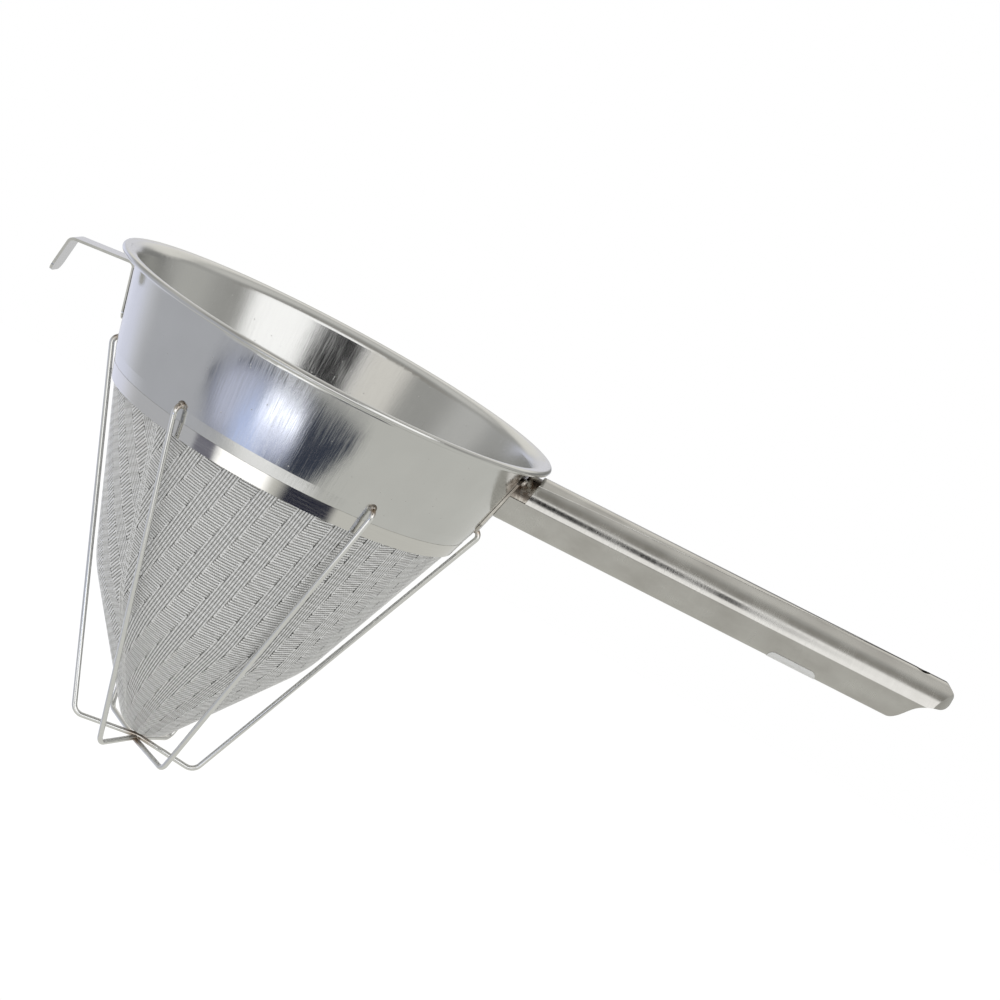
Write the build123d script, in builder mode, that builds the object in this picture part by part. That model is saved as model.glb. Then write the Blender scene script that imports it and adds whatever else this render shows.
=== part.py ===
from build123d import *
import math
import os

# Chinois strainer: a stainless collar with a handle and a pot hook, a two-layer wire cloth cone
# clamped under its foot, and a guard of three crossed wire bows. Millimetres, +Z up the bowl's axis,
# the origin in the middle of the mouth, +X along the handle, -X towards the hook.

# Shared sheets, wires, fits and cuts
collar_sheet = 0.8
ring_sheet = 0.7
cloth_sheet = 0.5
fine_mesh_sheet = 0.3
saddle_sheet = 1.0
neck_sheet = 1.2
handle_sheet = 1.2
hook_sheet = 1.2
label_sheet = 0.2
guard_wire_diameter = 2.4
fit_clearance = 0.1
cut_overrun = 3.0

# Collar, from the lip down
rim_radius = 103.0
bead_diameter = 2.8
lip_flat = 1.5
flare_radius = 5.0
wall_angle = 14.0
wall_drop = 40.7
ledge_angle = 20.0
ledge_height = 5.3
ring_angle = 17.0
ring_height = 6.5

# Wire cloth cone
cloth_angle = 20.8
cloth_shoulder_drop = 128.0
cloth_shoulder_radius = 60.0
cloth_tip_angle = 35.5
cloth_tip_radius = 15.5

# Guard bows, counted around the axis from -X. They lean round the cone from knee to foot.
bow_count = 3
bow_start_angle = 2.6
bow_lean_angle = 6.2
bow_end_drop = 39.4
bow_knee_drop = 40.0
bow_knee_gap = 3.7
bow_knee_bend = 3.0
bow_shoulder_gap = 3.22
bow_tip_gap = 0.34
bow_foot_dips = [1.4, 0.7, -1.0]
bow_foot_bend = 5.0
bow_crossing_step = 1.0
bow_crossing_bend = 12.0
bow_weld_diameter = 3.4

# Handle, folded from one sheet with its seam on the roof
handle_tilt = 2.03
handle_crown_drop = 4.8
handle_length = 205.0
handle_half_width = 12.5
handle_roof_rise = 12.4
handle_wall_fall = 11.8
handle_floor_half_width = 7.0
handle_floor_fillet = 3.0
handle_ridge_fillet = 0.8
handle_roof_setback = 7.2
handle_nose_radius = 14.0
handle_end_length = 23.0
seam_root_offset = 8.8
seam_root_width = 0.3
seam_end_offset = 1.0
seam_end_width = 0.6
hanging_hole_diameter = 7.0
hanging_hole_setback = 17.0

# Outline of the far end, as shares of the end's length back from the tip and of the handle's height
nose_top_shares = [(0.44, 0.0), (0.12, 0.07), (0.0, 0.23)]
nose_under_shares = [(0.0, 0.23), (0.07, 0.38), (0.22, 0.45)]
scallop_shares = [(0.22, 0.45), (0.46, 0.51), (0.60, 0.60), (0.76, 0.80), (1.0, 1.0)]

# Saddle plate and the neck that the handle is pushed over
saddle_top_drop = 8.0
saddle_height = 29.5
saddle_width = 26.0
saddle_corner = 4.0
neck_reach = 24.0
neck_weld_angle = 50.0
neck_weld_diameter = 4.0

# Blank label wrapped under the handle
label_start = 125.0
label_length = 22.7
label_wrap = 3.2
label_end_share = 0.9

# Pot hook, a bent strap on the wall
hook_width = 17.0
hook_foot_drop = 32.0
hook_bend_drop = 7.6
hook_arm_length = 30.0
hook_arm_fall = 3.6
hook_leg_length = 17.0
hook_leg_lean = 2.2
hook_bend = 3.0
hook_corner = 4.0


def tan(angle):
    return math.tan(math.radians(angle))


def sin(angle):
    return math.sin(math.radians(angle))


def cos(angle):
    return math.cos(math.radians(angle))


# Collar profile, as (radius, height) of its outer face
bead_radius = bead_diameter / 2
flare_end = (rim_radius - bead_radius - lip_flat, -bead_radius + collar_sheet / 2)
wall_top = (
    flare_end[0] - flare_radius * cos(wall_angle),
    flare_end[1] - flare_radius * (1 - sin(wall_angle)),
)
wall_foot = (wall_top[0] - (wall_drop + wall_top[1]) * tan(wall_angle), -wall_drop)
ledge_foot = (wall_foot[0] - ledge_height * tan(ledge_angle), -wall_drop - ledge_height)


def wall_radius(height):
    return wall_top[0] - (wall_top[1] - height) * tan(wall_angle)


# Clamp ring, cloth layers and sleeve, nested inwards from the ring's flush outer face
ring_top = (ledge_foot[0], ledge_foot[1] - ring_sheet * sin(ring_angle) - fit_clearance)
ring_foot = (ring_top[0] - ring_height * tan(ring_angle), ring_top[1] - ring_height)
cloth_top_height = ledge_foot[1] - cloth_sheet * sin(cloth_angle) - fit_clearance
cloth_top_radius = ring_top[0] - ring_sheet / cos(ring_angle) - 2 * fit_clearance
cloth_fall = cloth_shoulder_drop + cloth_top_height
cloth_shoulder = (cloth_top_radius - cloth_fall * tan(cloth_angle), -cloth_shoulder_drop)
cloth_apex = cloth_shoulder[1] - cloth_shoulder[0] / tan(cloth_tip_angle)
cloth_tip_drop = cloth_tip_radius - cloth_apex - cloth_tip_radius / sin(cloth_tip_angle)
fine_mesh_inset = cloth_sheet + fit_clearance
sleeve_inset = (fine_mesh_inset + fine_mesh_sheet + fit_clearance) / cos(cloth_angle)
sleeve_top = (cloth_top_radius - sleeve_inset, ledge_foot[1])
sleeve_height = ring_foot[1] - sleeve_top[1]
sleeve_foot = (sleeve_top[0] + sleeve_height * tan(cloth_angle), ring_foot[1])

with BuildPart() as collar:
    with BuildSketch(Plane.XZ):
        with BuildLine():
            collar_wall = Polyline(sleeve_foot, sleeve_top, ledge_foot, wall_foot, wall_top)
            TangentArc(wall_top, flare_end, tangent=collar_wall % 1)
            Line(flare_end, (rim_radius - bead_radius, flare_end[1]))
            offset(amount=collar_sheet, side=Side.LEFT)
        make_face()
        with Locations((rim_radius - bead_radius, -bead_radius)):
            Circle(bead_radius)
    revolve(axis=Axis.Z)
collar.part.label = "collar"

with BuildPart() as clamp_ring:
    with BuildSketch(Plane.XZ):
        with BuildLine():
            Line(ring_foot, ring_top)
            offset(amount=ring_sheet, side=Side.LEFT)
        make_face()
    revolve(axis=Axis.Z)
clamp_ring.part.label = "clamp_ring"


# One layer of wire cloth: a cone with a soft shoulder and a round tip, set in from the outer layer
def cloth_layer(inset, sheet):
    top = (cloth_top_radius - inset / cos(cloth_angle), cloth_top_height)
    apex = cloth_apex + inset / sin(cloth_tip_angle)
    # The inset shoulder lies where the two inset cones meet
    meet = (top[0] - top[1] * tan(cloth_angle) + apex * tan(cloth_tip_angle)) / (
        tan(cloth_tip_angle) - tan(cloth_angle)
    )
    tip_radius = cloth_tip_radius - inset
    tip_middle = apex + tip_radius / sin(cloth_tip_angle)
    tip_start = (tip_radius * cos(cloth_tip_angle), tip_middle - tip_radius * sin(cloth_tip_angle))
    with BuildPart() as layer:
        with BuildSketch(Plane.XZ):
            with BuildLine():
                side = FilletPolyline(
                    top,
                    ((meet - apex) * tan(cloth_tip_angle), meet),
                    tip_start,
                    radius=cloth_shoulder_radius - inset,
                )
                TangentArc(tip_start, (0, tip_middle - tip_radius), tangent=side % 1)
                offset(amount=sheet, side=Side.RIGHT)
            make_face()
        revolve(axis=Axis.Z)
    return layer.part


support_mesh = cloth_layer(0, cloth_sheet)
support_mesh.label = "support_mesh"
fine_mesh = cloth_layer(fine_mesh_inset, fine_mesh_sheet)
fine_mesh.label = "fine_mesh"


def around(radius, angle, height):
    return Vector(radius * cos(angle), radius * sin(angle), height)


# Everything inside the wall's outer face, set off outwards, which trims what is fixed to the wall
def wall_core(gap):
    bottom = wall_foot[1] - guard_wire_diameter / 2
    with BuildPart() as core:
        with BuildSketch(Plane.XZ):
            with BuildLine():
                Polyline(
                    (0, bottom),
                    (wall_radius(bottom) + gap, bottom),
                    (wall_radius(cut_overrun) + gap, cut_overrun),
                    (0, cut_overrun),
                    close=True,
                )
            make_face()
        revolve(axis=Axis.Z)
    return core.part


# Guard bow: wire end, knee and foot on one side, the crossing, then the same on the far side
guard_wire_radius = guard_wire_diameter / 2
bow_end_radius = wall_radius(-bow_end_drop)
bow_knee_radius = wall_radius(-bow_knee_drop) + bow_knee_gap
bow_crossing_span = (bow_count - 1) * bow_crossing_step
bow_crossing_drop = cloth_tip_drop + bow_tip_gap + guard_wire_radius + bow_crossing_span
bow_foot_drops = [bow_crossing_drop + dip for dip in bow_foot_dips]

# The legs run straight from the knees past the cloth's shoulder to the feet
leg_fall = (cloth_shoulder_drop - bow_knee_drop) / (bow_knee_radius - cloth_shoulder[0] - bow_shoulder_gap)
bow_foot_radius = bow_knee_radius - (max(bow_foot_drops) - bow_knee_drop) / leg_fall


def bow_points(index):
    sides = []
    for half_turn in (0, 180):
        angle = 180 + bow_start_angle + index * 180 / bow_count + half_turn
        sides.append(
            [
                around(bow_end_radius - guard_wire_radius, angle, -bow_end_drop),
                around(bow_knee_radius, angle, -bow_knee_drop),
                around(bow_foot_radius, angle + bow_lean_angle, -bow_foot_drops[index]),
            ]
        )
    middle_height = -bow_crossing_drop + (bow_count - 1 - index) * bow_crossing_step
    return [*sides[0], Vector(0, 0, middle_height), *reversed(sides[1])]


bow_bends = [bow_knee_bend, bow_foot_bend, bow_crossing_bend, bow_foot_bend, bow_knee_bend]
bows = []
for index in range(bow_count):
    with BuildPart() as bow:
        with BuildLine() as bow_line:
            FilletPolyline(*bow_points(index), radius=bow_bends)
        with BuildSketch(Plane(origin=bow_line.line @ 0, z_dir=bow_line.line % 0)):
            Circle(guard_wire_radius)
        sweep(path=bow_line.line)
        add(wall_core(fit_clearance), mode=Mode.SUBTRACT)
    bows.append(bow.part)

# Where the bows cross they are welded into one another: each is notched over the ones outside it
guard_bows = []
for index in range(bow_count):
    with BuildPart() as guard_bow:
        add(bows[index])
        for outer in bows[index + 1 :]:
            add(outer, mode=Mode.SUBTRACT)
    guard_bow.part.label = f"guard_bow_{index + 1}"
    guard_bows.append(guard_bow.part)

# Weld nuggets that hold the wire ends to the wall
with BuildPart() as bow_welds:
    for index in range(2 * bow_count):
        angle = 180 + bow_start_angle + index * 180 / bow_count
        with Locations(around(bow_end_radius, angle, -bow_end_drop)):
            Sphere(bow_weld_diameter / 2)
    add(wall_core(fit_clearance), mode=Mode.SUBTRACT)
    add(bows, mode=Mode.SUBTRACT)
bow_welds.part.label = "bow_welds"

# Saddle plate, bent to the wall
saddle_gap = fit_clearance / cos(wall_angle)
saddle_face = saddle_gap + saddle_sheet / cos(wall_angle)
with BuildPart() as saddle_plate:
    with BuildSketch(Plane.YZ.offset(rim_radius / 2)):
        with Locations((0, -saddle_top_drop - saddle_height / 2)):
            RectangleRounded(saddle_width, saddle_height, saddle_corner)
    extrude(amount=rim_radius / 2)
    add(wall_core(saddle_face), mode=Mode.INTERSECT)
    add(wall_core(saddle_gap), mode=Mode.SUBTRACT)
saddle_plate.part.label = "saddle_plate"

# Handle sections stand across handle_plane: local x is across, local y is up, its normal runs outwards
handle_out = Vector(cos(handle_tilt), 0, sin(handle_tilt))
handle_up = Vector(-sin(handle_tilt), 0, cos(handle_tilt))
handle_crown = Vector(wall_top[0], 0, -handle_crown_drop)
handle_ridge = handle_crown - handle_up * handle_roof_rise
handle_start = -handle_half_width
handle_height = handle_roof_rise + handle_wall_fall
handle_plane = Plane(origin=handle_ridge, x_dir=(0, 1, 0), z_dir=handle_out).offset(handle_start)
handle_side = Plane(origin=handle_crown, x_dir=handle_out, z_dir=(0, -1, 0))
handle_top = Plane(origin=handle_crown, x_dir=handle_out, z_dir=handle_up)


# Outline of the handle's tube: a round roof, a ridge on each side, and walls drawn in to the floor
def tube_outline(inset):
    half = handle_half_width - inset
    floor_half = handle_floor_half_width - inset
    with BuildSketch() as outline:
        with BuildLine():
            ThreePointArc((-half, 0), (0, handle_roof_rise - inset), (half, 0))
            floor_right = (floor_half, inset - handle_wall_fall)
            floor_left = (-floor_half, inset - handle_wall_fall)
            Polyline((half, 0), floor_right, floor_left, (-half, 0))
        make_face()
        fillet(outline.vertices().group_by(Axis.Y)[0], handle_floor_fillet - inset)
        fillet(outline.vertices().group_by(Axis.Y)[-1], handle_ridge_fillet)
    return outline.sketch


def end_points(shares, inset):
    points = []
    for back, down in shares:
        across = handle_length - back * handle_end_length - inset
        points.append((across, -down * handle_height - inset))
    return points


# The handle's tube with a round nose, or the hollow within it
def tube_with_nose(inset):
    top_points = end_points(nose_top_shares, inset)
    nose_middle = handle_length - handle_nose_radius
    with BuildPart() as tube:
        with BuildSketch(handle_plane):
            add(tube_outline(inset))
        extrude(amount=handle_length - handle_start)
        with BuildSketch(handle_side):
            with BuildLine():
                ThreePointArc(*top_points)
                Polyline(
                    top_points[-1],
                    (top_points[-1][0], -handle_height - cut_overrun),
                    (handle_start, -handle_height - cut_overrun),
                    (handle_start, cut_overrun),
                    (top_points[0][0], cut_overrun),
                    top_points[0],
                )
            make_face()
        extrude(amount=handle_half_width + cut_overrun, both=True, mode=Mode.INTERSECT)
        with BuildSketch(handle_top.offset(cut_overrun)):
            with Locations((nose_middle, 0)):
                Circle(handle_nose_radius - inset)
            with Locations(((nose_middle + handle_start) / 2, 0)):
                Rectangle(nose_middle - handle_start, 2 * (handle_nose_radius - inset))
        extrude(amount=-handle_height - 2 * cut_overrun, mode=Mode.INTERSECT)
    return tube.part


with BuildPart() as handle:
    add(tube_with_nose(0))
    add(tube_with_nose(handle_sheet), mode=Mode.SUBTRACT)
    # Scalloped far end, open underneath
    with BuildSketch(handle_side):
        with BuildLine():
            under_points = end_points(nose_under_shares, 0)
            scallop_points = end_points(scallop_shares, 0)
            ThreePointArc(*under_points)
            Spline(*scallop_points)
            Polyline(
                scallop_points[-1],
                (scallop_points[-1][0], -handle_height - cut_overrun),
                (handle_length + cut_overrun, -handle_height - cut_overrun),
                (handle_length + cut_overrun, under_points[0][1]),
                under_points[0],
            )
        make_face()
    extrude(amount=handle_half_width + cut_overrun, both=True, mode=Mode.SUBTRACT)
    # The root: walls that reach the saddle, and a roof that stops short of it
    add(wall_core(saddle_face + fit_clearance), mode=Mode.SUBTRACT)
    with BuildSketch(handle_side):
        with BuildLine():
            root_cut = Line(
                (handle_roof_setback, cut_overrun),
                (handle_roof_setback - handle_roof_rise * tan(wall_angle), -handle_roof_rise),
            )
            Polyline(
                root_cut @ 1,
                (handle_start, -handle_roof_rise),
                (handle_start, cut_overrun),
                root_cut @ 0,
            )
        make_face()
    extrude(amount=handle_half_width + cut_overrun, both=True, mode=Mode.SUBTRACT)
    # Seam from the near side of the root to the hanging hole
    seam_end = handle_length - hanging_hole_setback
    with BuildSketch(handle_top):
        with BuildLine():
            Polyline(
                (0, -seam_root_offset - seam_root_width / 2),
                (seam_end, -seam_end_offset - seam_end_width / 2),
                (seam_end, -seam_end_offset + seam_end_width / 2),
                (0, -seam_root_offset + seam_root_width / 2),
                close=True,
            )
        make_face()
        with Locations((seam_end, 0)):
            Circle(hanging_hole_diameter / 2)
    extrude(amount=-handle_roof_rise, mode=Mode.SUBTRACT)
handle.part.label = "handle"

# Neck: a short tube inside the handle's root
neck_inset = handle_sheet + fit_clearance
with BuildPart() as neck_bracket:
    with BuildSketch(handle_plane):
        add(tube_outline(neck_inset))
        add(tube_outline(neck_inset + neck_sheet), mode=Mode.SUBTRACT)
    extrude(amount=neck_reach - handle_start)
    add(wall_core(saddle_face), mode=Mode.SUBTRACT)
neck_bracket.part.label = "neck_bracket"

# Weld beads between the neck's roof and the saddle, one on each side
neck_roof_radius = handle_half_width - neck_inset
weld_side = neck_roof_radius * sin(neck_weld_angle)
weld_height = handle_ridge.Z + neck_roof_radius * cos(neck_weld_angle)
weld_out = math.sqrt((wall_radius(weld_height) + saddle_face) ** 2 - weld_side**2)
with BuildPart() as neck_welds:
    with Locations((weld_out, -weld_side, weld_height)):
        Sphere(neck_weld_diameter / 2)
    add(wall_core(saddle_face), mode=Mode.SUBTRACT)
    add(neck_bracket.part, mode=Mode.SUBTRACT)
    with BuildSketch(handle_plane):
        add(tube_outline(neck_inset + neck_sheet))
    extrude(amount=neck_reach - handle_start, mode=Mode.SUBTRACT)
    mirror(about=Plane.XZ)
neck_welds.part.label = "neck_welds"

# Blank label, wrapped under the floor and a little way up the walls
with BuildPart() as blank_label:
    with BuildSketch(handle_plane):
        add(tube_outline(-label_sheet))
        add(tube_outline(0), mode=Mode.SUBTRACT)
    extrude(amount=handle_length - handle_start)
    with BuildSketch(handle_side):
        with Locations((label_start + label_length / 2, -handle_height - label_sheet)):
            RectangleRounded(label_length, 2 * label_wrap, label_wrap * label_end_share)
    extrude(amount=handle_half_width, both=True, mode=Mode.INTERSECT)
blank_label.part.label = "blank_label"

# Pot hook: up the wall from its foot, out under the lip, and down again
hook_wall_gap = fit_clearance / cos(wall_angle)
hook_root = (-wall_radius(-hook_bend_drop) - hook_wall_gap, -hook_bend_drop)
hook_elbow = (hook_root[0] - hook_arm_length, hook_root[1] - hook_arm_fall)
hook_points = [
    (-wall_radius(-hook_foot_drop) - hook_wall_gap, -hook_foot_drop),
    hook_root,
    hook_elbow,
    (hook_elbow[0] - hook_leg_lean, hook_elbow[1] - hook_leg_length),
]
with BuildPart() as hook:
    with BuildSketch(Plane.XZ):
        with BuildLine():
            FilletPolyline(*hook_points, radius=hook_bend)
            offset(amount=hook_sheet, side=Side.LEFT)
        make_face()
    extrude(amount=hook_width / 2, both=True)
    fillet(hook.edges().group_by(SortBy.LENGTH)[0], hook_corner)
hook.part.label = "hook"

pieces = [collar, clamp_ring, bow_welds, saddle_plate, neck_bracket, neck_welds, handle, blank_label, hook]
os.makedirs("parts", exist_ok=True)
for part in [piece.part for piece in pieces] + [support_mesh, fine_mesh] + guard_bows:
    export_step(part, f"parts/{part.label}.step")
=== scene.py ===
import math
import bmesh
import bpy
from mathutils import Matrix, Vector


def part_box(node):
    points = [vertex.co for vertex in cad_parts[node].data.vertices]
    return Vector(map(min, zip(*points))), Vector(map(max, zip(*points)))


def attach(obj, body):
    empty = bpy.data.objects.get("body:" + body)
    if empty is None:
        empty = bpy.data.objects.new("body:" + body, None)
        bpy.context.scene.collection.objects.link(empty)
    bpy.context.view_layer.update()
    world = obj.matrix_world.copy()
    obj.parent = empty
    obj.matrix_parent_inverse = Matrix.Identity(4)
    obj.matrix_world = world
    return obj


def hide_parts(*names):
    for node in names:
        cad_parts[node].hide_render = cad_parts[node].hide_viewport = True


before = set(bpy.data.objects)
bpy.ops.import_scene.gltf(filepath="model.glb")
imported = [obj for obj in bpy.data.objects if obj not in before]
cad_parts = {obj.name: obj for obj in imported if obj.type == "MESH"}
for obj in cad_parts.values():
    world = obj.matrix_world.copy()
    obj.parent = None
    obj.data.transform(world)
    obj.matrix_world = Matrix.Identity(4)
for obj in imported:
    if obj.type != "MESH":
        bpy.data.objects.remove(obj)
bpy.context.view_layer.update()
print("frame loaded:", len(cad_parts), "nodes")

# A chinois: stainless collar, folded handle, pot hook, wire cage and a herringbone wire cloth cone.


def linearColour(hexText):
    channels = [int(hexText[place:place + 2], 16) / 255 for place in (0, 2, 4)]
    return tuple(c / 12.92 if c <= 0.04045 else ((c + 0.055) / 1.055) ** 2.4 for c in channels) + (1.0,)


# Small names are the node's own settings, the rest are its sockets
def addNode(tree, kind, settings=None, links=None):
    node = tree.nodes.new(kind)
    for name, value in (settings or {}).items():
        if isinstance(name, str) and name[0].islower():
            setattr(node, name, value)
        else:
            node.inputs[name].default_value = value
    for name, source in (links or {}).items():
        tree.links.new(source, node.inputs[name])
    return node


def newMaterial(name):
    material = bpy.data.materials.new(name)
    material.use_nodes = True
    material.node_tree.nodes.clear()
    return material, material.node_tree


# Camera where the photo was taken from
camera = {
    "place": (0.0896, -1.0315, 0.1317),
    "right": (0.87517, 0.07151, 0.47851),  # the picture's axes, so the bowl leans as it does there
    "up": (-0.48382, 0.12936, 0.86556),
    "back": (0.0, -0.98902, 0.14781),
    "lens": 87.49,
    "sensor": 36.0,
}
cameraData = bpy.data.cameras.new("camera")
cameraData.lens = camera["lens"]
cameraData.sensor_width = camera["sensor"]
cameraData.clip_start = 0.01
cameraObject = bpy.data.objects.new("camera", cameraData)
axes = Matrix((camera["right"], camera["up"], camera["back"])).transposed()
cameraObject.matrix_world = Matrix.Translation(camera["place"]) @ axes.to_4x4()
bpy.context.scene.collection.objects.link(cameraObject)
bpy.context.scene.camera = cameraObject
bpy.context.scene.view_settings.view_transform = "Standard"
print("camera placed")

# Azimuth 0 is towards -Y and grows towards +X. Each card is a soft-edged rectangle far away, as polished
# steel mirrors it. Other light comes from an even pale room, so that a colour renders as it is written.
studio = {
    "ground": "D7D7D2", "sky": "B0B0AD", "horizon": (-13.0, -1.0), "evenLight": 0.72,
    "cards": [
        # colour, brightness, azimuth, elevation, width, height, softness (degrees)
        ("C4C6CC", 1.00, -78, -26, 80, 60, 30),  # grey wall on the left
        ("DDE0F0", 1.15, -146, -14, 44, 52, 26),  # lavender card behind the hook
        ("DCDCE2", 1.02, 180, 6, 40, 36, 16),
        ("F4F2EC", 1.02, 178, 32, 80, 34, 16),  # pale card high behind
        ("DDDCD8", 1.00, 180, 76, 100, 44, 26),  # dull ceiling
        ("A3A19C", 1.0, 4, 56, 130, 22, 14),  # darker upper wall
        ("8E8E8C", 1.0, 154, 7, 40, 22, 12),
        ("C6C6C2", 1.0, 108, 10, 30, 24, 16),
        ("FFFFFF", 1.45, 27, 16, 74, 52, 9),  # wide bright window in front
        ("F3F0EA", 1.02, -22, 18, 25, 46, 8),
        ("CFCFCD", 1.0, -82, 15, 28, 26, 14),
    ],
}


def studioWorld():
    world = bpy.data.worlds.new("studio")
    world.use_nodes = True
    tree = world.node_tree
    tree.nodes.clear()
    direction = addNode(tree, "ShaderNodeTexCoord").outputs["Generated"]
    rise = addNode(tree, "ShaderNodeSeparateXYZ", {}, {"Vector": direction}).outputs["Z"]
    low, high = (math.sin(math.radians(edge)) for edge in studio["horizon"])
    aloft = addNode(tree, "ShaderNodeMapRange", {
        "interpolation_type": "SMOOTHSTEP", "From Min": low, "From Max": high,
    }, {"Value": rise})
    colour = addNode(tree, "ShaderNodeMix", {
        "data_type": "RGBA", 6: linearColour(studio["ground"]), 7: linearColour(studio["sky"]),
    }, {0: aloft.outputs[0]}).outputs[2]
    for hexText, brightness, azimuth, elevation, width, height, softness in studio["cards"]:
        turn, tip = math.radians(azimuth), math.radians(elevation)
        ahead = Vector((math.sin(turn) * math.cos(tip), -math.cos(turn) * math.cos(tip), math.sin(tip)))
        across = Vector((math.cos(turn), math.sin(turn), 0))
        above = across.cross(ahead) * -1
        depth = addNode(tree, "ShaderNodeVectorMath", {"operation": "DOT_PRODUCT", 1: ahead}, {0: direction})
        mask = addNode(
            tree, "ShaderNodeMath", {"operation": "GREATER_THAN", 1: 0.0}, {0: depth.outputs["Value"]},
        ).outputs[0]
        for axis, size in ((across, width), (above, height)):
            along = addNode(tree, "ShaderNodeVectorMath", {"operation": "DOT_PRODUCT", 1: axis}, {0: direction})
            angle = addNode(tree, "ShaderNodeMath", {
                "operation": "ARCTAN2",
            }, {0: along.outputs["Value"], 1: depth.outputs["Value"]})
            spread = addNode(tree, "ShaderNodeMath", {"operation": "ABSOLUTE"}, {0: angle.outputs[0]})
            edge = addNode(tree, "ShaderNodeMapRange", {
                "interpolation_type": "SMOOTHSTEP",
                "From Min": math.radians(size / 2 + softness / 2),
                "From Max": math.radians(size / 2 - softness / 2),
            }, {"Value": spread.outputs[0]})
            mask = addNode(
                tree, "ShaderNodeMath", {"operation": "MULTIPLY"}, {0: mask, 1: edge.outputs[0]},
            ).outputs[0]
        card = tuple(c * brightness for c in linearColour(hexText)[:3]) + (1.0,)
        colour = addNode(tree, "ShaderNodeMix", {"data_type": "RGBA", 7: card}, {0: mask, 6: colour}).outputs[2]
    mirrored = addNode(tree, "ShaderNodeBackground", {}, {"Color": colour})
    even = addNode(tree, "ShaderNodeBackground", {"Color": (1, 1, 1, 1), "Strength": studio["evenLight"]})
    white = addNode(tree, "ShaderNodeBackground", {"Color": (1, 1, 1, 1), "Strength": 1.0})
    rays = addNode(tree, "ShaderNodeLightPath")
    lit = addNode(
        tree, "ShaderNodeMixShader", {},
        {0: rays.outputs["Is Glossy Ray"], 1: even.outputs[0], 2: mirrored.outputs[0]},
    )
    seen = addNode(
        tree, "ShaderNodeMixShader", {},
        {0: rays.outputs["Is Camera Ray"], 1: lit.outputs[0], 2: white.outputs[0]},
    )
    addNode(tree, "ShaderNodeOutputWorld", {}, {"Surface": seen.outputs[0]})
    bpy.context.scene.world = world


studioWorld()

# Boards stand close, where only reflections see them: the camera and its dark cloth with the lamp's glow.
# A patch is given in metres across (towards -X) and up the board. "bow" bends its rows as the collar does.
boards = {
    "lampBoard": {
        "place": (0.0152, -0.3705, -0.2304), "facing": (0.027, -0.797, -0.603),
        "left": 0.62, "right": -0.42, "top": 0.05, "bottom": -0.36, "bow": 0.70, "bowCentre": 0.028,
        "patches": [
            # colour, brightness, middle, half size, softness, flare
            ("3E4453", 1.0, (0.115, -0.011), (0.282, 0.028), (0.040, 0.006), 2.6),  # dark cloth
            ("CCD1E6", 1.12, (0.262, -0.012), (0.098, 0.021), (0.110, 0.012), 2.2),
            ("BFCDF2", 1.35, (0.135, -0.022), (0.075, 0.018), (0.090, 0.022), 0.0),
            ("F0F3FF", 4.8, (0.058, -0.005), (0.062, 0.0068), (0.070, 0.012), 0.0),  # hot lamp
            ("C8CFE8", 1.25, (0.046, -0.016), (0.056, 0.011), (0.070, 0.016), 0.0),
            ("7C7C88", 1.0, (0.285, -0.082), (0.060, 0.022), (0.040, 0.012), 0.0),
            ("FFFFFF", 1.7, (0.105, -0.076), (0.105, 0.018), (0.050, 0.012), 0.0),
            ("1F2236", 1.0, (-0.160, -0.073), (0.110, 0.016), (0.060, 0.012), 0.0),
            ("FFFFFF", 1.12, (0.010, -0.112), (0.140, 0.016), (0.120, 0.014), 0.0),
        ],
    },
    "cameraFlag": {
        "place": (0.095, -0.600, 0.235), "facing": (0.0, -1.0, 0.0),
        "left": 0.25, "right": -0.25, "top": 0.18, "bottom": -0.18, "bow": 0.0, "bowCentre": 0.0,
        "patches": [("0C0C10", 1.0, (-0.008, 0.0), (0.180, 0.122), (0.080, 0.070), 0.0)],
    },
}


def stagePlane(name, corners, uvs, material):
    mesh = bpy.data.meshes.new(name)
    mesh.from_pydata(corners, [], [(0, 1, 2, 3)])
    mesh.uv_layers.new(name="UVMap").data.foreach_set("uv", [value for pair in uvs for value in pair])
    mesh.materials.append(material)
    plane = bpy.data.objects.new(name, mesh)
    bpy.context.scene.collection.objects.link(plane)
    return plane


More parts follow.
